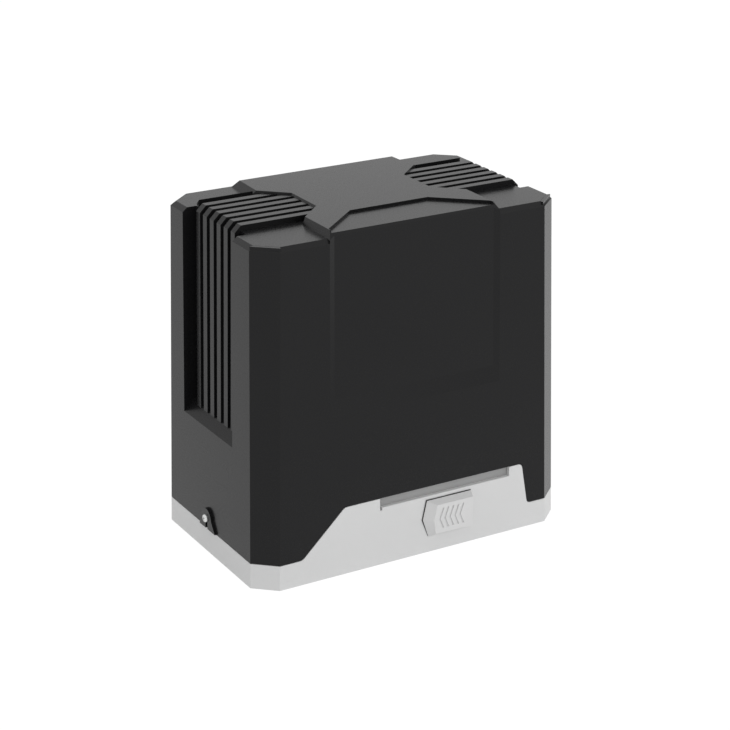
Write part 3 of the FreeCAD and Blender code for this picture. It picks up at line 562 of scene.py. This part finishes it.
# The wiring inside the cover is fixed. The motor's three leads run from the foot of its can to the
# board, and the transformer's two climb beside the bracket's leg to the same row of terminals.
def lead(name, spots, radius, finish):
    """A round wire through spots in millimetres, as a mesh."""
    line = bpy.data.curves.new(name, "CURVE")
    line.dimensions = "3D"
    line.resolution_u = 8
    line.bevel_depth = radius / 1000
    line.bevel_resolution = 3
    line.use_fill_caps = True
    path = line.splines.new("BEZIER")
    path.bezier_points.add(len(spots) - 1)
    for knot, spot in zip(path.bezier_points, spots):
        knot.co = mm(*spot)
        knot.handle_left_type = knot.handle_right_type = "AUTO"
    draft = bpy.data.objects.new(name, line)
    bpy.context.scene.collection.objects.link(draft)
    mesh = baked(draft)
    bpy.data.objects.remove(draft)
    mesh.materials.clear()
    mesh.shade_smooth()
    piece = bpy.data.objects.new(name, mesh)
    bpy.context.scene.collection.objects.link(piece)
    return clad(piece, finish, "base")


brown_wire = moulded("wire_brown", (0.10, 0.035, 0.015), 0.42)
blue_wire = moulded("wire_blue", (0.02, 0.07, 0.30), 0.42)
grey_wire = moulded("wire_grey", (0.22, 0.22, 0.22), 0.42)
for count, (finish, x) in enumerate(((brown_wire, 16), (blue_wire, 22), (grey_wire, 28))):
    y = -20 + count * 3.2
    lead(f"motor_lead_{count}", [(-6, y, 156), (-1.5, y, 156.5), (4 + count, y + 4, 154.6),
                                 (12 + count * 5, 1 + count, 155.2), (x, 9.6, 158.0),
                                 (x, 13.0, 159.2)], 1.1, finish)
for count, (finish, x) in enumerate(((blue_wire, 76), (brown_wire, 82))):
    lead(f"transformer_lead_{count}", [(90 + count * 6, -8, 61), (92 + count * 6, -8, 72),
                                       (120.5, -13 - count * 3, 90), (121, -14 - count * 3, 120),
                                       (120.5, -14.5 - count * 3, 158), (104, -3 + count, 158.5),
                                       (x + 4, 5, 156.6), (x, 10, 157.8), (x, 13, 159.2)], 0.9,
         finish)


# The limit sensor's two leads come out of its front and run along the bracket to the board.
for count, (finish, x) in enumerate(((grey_wire, 46), (brown_wire, 52))):
    lead(f"sensor_lead_{count}", [(-9 + count * 3, 44.6, 156), (-7 + count * 3, 40, 154.5),
                                  (0.5 + count * 2.4, 32, 153.2), (1 + count * 2.4, 16, 153.2),
                                  (10 + count, 7.4 - count * 2.4, 153.2),
                                  (36 + count * 4, 6.6 - count * 2.2, 153.2),
                                  (x, 9.6, 157), (x, 13, 159.2)], 0.8, finish)


# The capacitor's two blade terminals stand on its cap. Each has a boot and a lead, brown or blue,
# that runs up to the motor's lower edge.
blades = [((-115.2, -0.4, 94.8), (-114.4, 4.4, 100.5)),
          ((-105.6, -0.4, 94.8), (-104.8, 4.4, 100.5))]
clad(bricks("capacitor_blades", blades, 0.1), zinc_finish, "base")
boots = [((-116.2, -1.2, 97.5), (-113.4, 5.2, 105.5)), ((-106.6, -1.2, 97.5), (-103.8, 5.2, 105.5))]
clad(bricks("capacitor_boots", boots, 0.6), white_finish, "base")
lead("capacitor_lead_0", [(-114.8, 2, 105), (-114.8, 2, 112), (-118, 6, 124), (-119, 8, 138),
                          (-115, 5, 152), (-110.4, 2, 157)], 1.1, brown_wire)
lead("capacitor_lead_1", [(-105.2, 2, 105), (-105.4, 2, 111), (-114, 9, 124), (-117, 12, 138),
                          (-114, 9, 152), (-109.4, 6.5, 157)], 1.1, blue_wire)


# Behind the lock cover a thin black sheet is painted shade: it stands for the dark gap round the
# cover's foot. It moves with the cover, and its edge shows as a dark line above the cover and at
# its tip.
gap_shade_form = bmesh.new()
edge_line = [(4.6, 30), (8.6, 47.3), (51.6, 47.3), (51.6, 14.4), (10.4, 14.4)]
rings = [[gap_shade_form.verts.new(mm(x, y, z)) for x, z in edge_line] for y in (-88.99, -88.84)]
for ring in rings:
    gap_shade_form.faces.new(ring)
for count in range(len(edge_line)):
    after = (count + 1) % len(edge_line)
    gap_shade_form.faces.new([rings[0][count], rings[0][after], rings[1][after], rings[1][count]])
bmesh.ops.recalc_face_normals(gap_shade_form, faces=gap_shade_form.faces)
clad(settle("slider_gap_shade", gap_shade_form), rubber_finish, "slider")


# The finger recess under the cover's edge is lined with a darker grey strip: painted shade for the
# shadow deep in the recess.
recess_shade_finish = moulded("recess_painted_shade", (0.33, 0.33, 0.33), 0.5)
clad(bricks("recess_painted_shade", [((-32.3, -85.15, 50.2), (89.8, -84.84, 58.3))], 0.08), recess_shade_finish,
     "base")


# The studio: white all round, with one broad lamp in front that fills the shadowed sides and isn't
# mirrored by the cover.
def lamp(name, size, power, spot, aim):
    """A square lamp at a spot, turned to an aim."""
    light = bpy.data.lights.new(name, "AREA")
    light.size = size
    light.energy = power
    thing = bpy.data.objects.new(name, light)
    thing.location = spot
    thing.rotation_euler = (Vector(aim) - Vector(spot)).to_track_quat("-Z", "Y").to_euler()
    bpy.context.scene.collection.objects.link(thing)
    return thing


front_fill = lamp("front_fill", 1.6, 14, (0.7, -2.4, 0.7), (0, 0, 0.12))
front_fill.visible_glossy = False


# The floor is a white sheet. Seen by the camera or in a reflection it is lifted to the studio's
# white, so that only a trace of the drive's shadow is left on it.
def looks(tree):
    """One where a ray comes from the camera, a reflection or a transparent part, and else zero."""
    rays = tree.nodes.new("ShaderNodeLightPath").outputs
    seen, mirrored, through = [Term(tree, rays[f"Is {kind} Ray"])
                               for kind in ("Camera", "Glossy", "Transmission")]
    return seen.math("MAXIMUM", mirrored).math("MAXIMUM", through)


floor_mesh = bpy.data.meshes.new("floor")
floor_form = bmesh.new()
bmesh.ops.create_grid(floor_form, x_segments=1, y_segments=1, size=6)
floor_form.to_mesh(floor_mesh)
floor = bpy.data.objects.new("floor", floor_mesh)
bpy.context.scene.collection.objects.link(floor)
floor_finish = Finish("floor", (0.88, 0.88, 0.88), 0.9)
glow = floor_finish.tree.nodes.new("ShaderNodeEmission")
glow.inputs["Strength"].default_value = 1.05
mixer = floor_finish.tree.nodes.new("ShaderNodeMixShader")
output = floor_finish.tree.nodes["Material Output"]
for source, slot in (((looks(floor_finish.tree) * 0.93).socket, mixer.inputs["Fac"]),
                     (floor_finish.shader.outputs[0], mixer.inputs[1]),
                     (glow.outputs[0], mixer.inputs[2]), (mixer.outputs[0], output.inputs[0])):
    floor_finish.tree.links.new(source, slot)
floor_mesh.materials.append(floor_finish.material)

# The sky is white to the eye, and a little weaker where it only lights the drive.
world = bpy.data.worlds.new("studio")
world.use_nodes = True
bpy.context.scene.world = world
tree = world.node_tree
sky = tree.nodes["Background"]
sky.inputs["Color"].default_value = (1, 1, 1, 1)
sky_seen, sky_light = 1.03, 0.75
tree.links.new((looks(tree) * (sky_seen - sky_light) + sky_light).socket, sky.inputs["Strength"])

# The camera stands to the left, in front and above, with a long lens.
camera = bpy.data.cameras.new("camera")
camera.lens = 101.73
camera.sensor_width = 36
view = bpy.data.objects.new("camera", camera)
view.location = (-0.8007, -1.3805, 0.7606)
view.rotation_euler = Vector((0.4685, 0.805, -0.3639)).to_track_quat("-Z", "Y").to_euler()
bpy.context.scene.collection.objects.link(view)
bpy.context.scene.camera = view
bpy.context.scene.view_settings.view_transform = "Standard"
